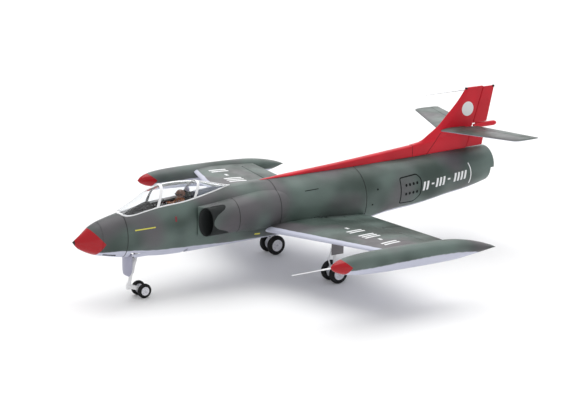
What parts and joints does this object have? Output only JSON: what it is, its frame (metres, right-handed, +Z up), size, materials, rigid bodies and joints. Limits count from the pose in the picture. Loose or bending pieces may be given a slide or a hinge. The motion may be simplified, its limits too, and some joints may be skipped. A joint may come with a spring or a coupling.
{
  "type": "rc jet plane",
  "caption": "Remote-control ducted-fan jet with side intakes, tip tanks, lift-off canopy hatch, working control surfaces and retracting twin-wheel gear.",
  "frame": {"origin": "on the ground under the middle of the overall box, with the wheels down", "axes": "+X towards the port (left) wing tip, +Y aft from nose to tail, +Z up"},
  "size_m": [0.998, 1.313, 0.427],
  "materials": {
    "painted_camouflage": "satin mottled green-grey paint over a moulded shell",
    "red_paint": "gloss red paint",
    "white_plastic": "smooth white",
    "wheel_hub": "pale grey moulding",
    "rubber": "matt black foam rubber",
    "grey_paint": "light grey paint",
    "black_plastic": "satin black",
    "clear_plastic": "clear vacuum-formed sheet",
    "carbon_tube": "pultruded tube",
    "pilot_fabric": "painted figure",
    "battery_wrap": "shrink wrap",
    "aluminium": "bright"
  },
  "bodies": {
    "airframe": {"nose_cone": "red_paint", "fuselage_front": "painted_camouflage", "fuselage_mid": "painted_camouflage", "fuselage_rear": "painted_camouflage", "inlet_duct": "grey_paint", "spine_fairing": "red_paint", "fin": "red_paint", "stabilizer": "painted_camouflage", "tail_bullet": "red_paint", "intake_fairing_left": "painted_camouflage", "intake_fairing_right": "painted_camouflage", "wing_left": "painted_camouflage", "wing_right": "painted_camouflage", "tip_tank_left": "painted_camouflage", "tip_tank_right": "painted_camouflage", "fan_housing": "black_plastic", "thrust_tube": "grey_paint", "battery": "battery_wrap", "speed_controller": "black_plastic", "receiver": "black_plastic", "wing_spar": "carbon_tube", "retract_unit_left": "black_plastic", "retract_unit_right": "black_plastic", "nose_retract_unit": "black_plastic", "tank_pitot": "white_plastic", "fin_pitot": "aluminium"},
    "canopy_hatch": {"canopy_frame": "white_plastic", "canopy_glass": "clear_plastic", "cockpit_tub": "black_plastic", "pilot_seat": "black_plastic", "pilot": "pilot_fabric"},
    "left_flap": {"flap_left": "painted_camouflage"},
    "right_flap": {"flap_right": "painted_camouflage"},
    "left_aileron": {"aileron_left": "painted_camouflage"},
    "right_aileron": {"aileron_right": "painted_camouflage"},
    "left_elevator": {"elevator_left": "painted_camouflage"},
    "right_elevator": {"elevator_right": "painted_camouflage"},
    "rudder": {"rudder_lower": "red_paint", "rudder_upper": "red_paint"},
    "fan": {"fan_rotor": "black_plastic"},
    "nose_leg": {"nose_strut": "white_plastic", "nose_gear_door": "grey_paint"},
    "nose_steering": {"nose_fork": "white_plastic"},
    "nose_link": {"nose_trailing_link": "white_plastic"},
    "nose_wheel_left": {"nose_left_hub": "wheel_hub", "nose_left_tyre": "rubber"},
    "nose_wheel_right": {"nose_right_hub": "wheel_hub", "nose_right_tyre": "rubber"},
    "main_leg_left": {"main_strut_left": "white_plastic", "main_gear_door_left": "grey_paint"},
    "main_leg_right": {"main_strut_right": "white_plastic", "main_gear_door_right": "grey_paint"},
    "main_outer_wheel_left": {"main_outer_left_hub": "wheel_hub", "main_outer_left_tyre": "rubber"},
    "main_inner_wheel_left": {"main_inner_left_hub": "wheel_hub", "main_inner_left_tyre": "rubber"},
    "main_outer_wheel_right": {"main_outer_right_hub": "wheel_hub", "main_outer_right_tyre": "rubber"},
    "main_inner_wheel_right": {"main_inner_right_hub": "wheel_hub", "main_inner_right_tyre": "rubber"}
  },
  "joints": [
    {"name": "canopy_lift", "type": "slide", "parent": "airframe", "child": "canopy_hatch", "axis": [0, 0, 1], "range_m": [0, 0.08]},
    {"name": "left_flap_hinge", "type": "hinge", "parent": "airframe", "child": "left_flap", "pos_m": [0.085, 0.09419, 0.14084], "axis": [-0.9973, -0.0042, -0.0729], "range_deg": [0, 40]},
    {"name": "left_aileron_hinge", "type": "hinge", "parent": "airframe", "child": "left_aileron", "pos_m": [0.253, 0.0949, 0.15312], "axis": [-0.9973, -0.0042, -0.0729], "range_deg": [-20, 20]},
    {"name": "left_elevator_hinge", "type": "hinge", "parent": "airframe", "child": "left_elevator", "pos_m": [0.011, 0.54686, 0.31732], "axis": [-0.9716, -0.2348, -0.0278], "range_deg": [-20, 20]},
    {"name": "right_flap_hinge", "type": "hinge", "parent": "airframe", "child": "right_flap", "pos_m": [-0.085, 0.09419, 0.14084], "axis": [-0.9973, 0.0042, 0.0729], "range_deg": [0, 40]},
    {"name": "right_aileron_hinge", "type": "hinge", "parent": "airframe", "child": "right_aileron", "pos_m": [-0.253, 0.0949, 0.15312], "axis": [-0.9973, 0.0042, 0.0729], "range_deg": [-20, 20]},
    {"name": "right_elevator_hinge", "type": "hinge", "parent": "airframe", "child": "right_elevator", "pos_m": [-0.011, 0.54686, 0.31732], "axis": [-0.9716, 0.2348, 0.0278], "range_deg": [-20, 20]},
    {"name": "rudder_hinge", "type": "hinge", "parent": "airframe", "child": "rudder", "pos_m": [0, 0.5525, 0.258], "axis": [0, 0.3162, 0.9487], "range_deg": [-25, 25]},
    {"name": "fan_spin", "type": "hinge", "parent": "airframe", "child": "fan", "pos_m": [0, 0.1695, 0.186], "axis": [0, 1, 0], "continuous": true},
    {"name": "nose_retract", "type": "hinge", "parent": "airframe", "child": "nose_leg", "pos_m": [0, -0.4785, 0.126], "axis": [1, 0, 0], "range_deg": [0, 100]},
    {"name": "main_retract_left", "type": "hinge", "parent": "airframe", "child": "main_leg_left", "pos_m": [0.1475, 0.0185, 0.145], "axis": [0, 1, 0], "range_deg": [0, 92]},
    {"name": "main_retract_right", "type": "hinge", "parent": "airframe", "child": "main_leg_right", "pos_m": [-0.1475, 0.0185, 0.145], "axis": [0, -1, 0], "range_deg": [0, 92]},
    {"name": "nose_steer", "type": "hinge", "parent": "nose_leg", "child": "nose_steering", "pos_m": [0, -0.5045, 0.027], "axis": [0, 0.254, 0.9672], "range_deg": [-20, 20]},
    {"name": "nose_link_pivot", "type": "hinge", "parent": "nose_steering", "child": "nose_link", "pos_m": [0, -0.5, 0.032], "axis": [1, 0, 0], "range_deg": [0, 10], "stiffness_Nm_per_rad": 2, "springref_deg": -8.59},
    {"name": "nose_wheel_left_spin", "type": "hinge", "parent": "nose_link", "child": "nose_wheel_left", "pos_m": [0.0165, -0.4665, 0.0185], "axis": [1, 0, 0], "continuous": true},
    {"name": "nose_wheel_right_spin", "type": "hinge", "parent": "nose_link", "child": "nose_wheel_right", "pos_m": [-0.0165, -0.4665, 0.0185], "axis": [1, 0, 0], "continuous": true},
    {"name": "main_outer_wheel_left_spin", "type": "hinge", "parent": "main_leg_left", "child": "main_outer_wheel_left", "pos_m": [0.166, 0.0185, 0.0265], "axis": [1, 0, 0], "continuous": true},
    {"name": "main_inner_wheel_left_spin", "type": "hinge", "parent": "main_leg_left", "child": "main_inner_wheel_left", "pos_m": [0.129, 0.0185, 0.0265], "axis": [1, 0, 0], "continuous": true},
    {"name": "main_outer_wheel_right_spin", "type": "hinge", "parent": "main_leg_right", "child": "main_outer_wheel_right", "pos_m": [-0.166, 0.0185, 0.0265], "axis": [1, 0, 0], "continuous": true},
    {"name": "main_inner_wheel_right_spin", "type": "hinge", "parent": "main_leg_right", "child": "main_inner_wheel_right", "pos_m": [-0.129, 0.0185, 0.0265], "axis": [1, 0, 0], "continuous": true}
  ],
  "couplings": [
    {"joint": "right_flap_hinge", "follows": "left_flap_hinge", "ratio": 1},
    {"joint": "right_aileron_hinge", "follows": "left_aileron_hinge", "ratio": -1},
    {"joint": "right_elevator_hinge", "follows": "left_elevator_hinge", "ratio": 1},
    {"joint": "main_retract_left", "follows": "nose_retract", "ratio": 0.92},
    {"joint": "main_retract_right", "follows": "nose_retract", "ratio": 0.92}
  ]
}
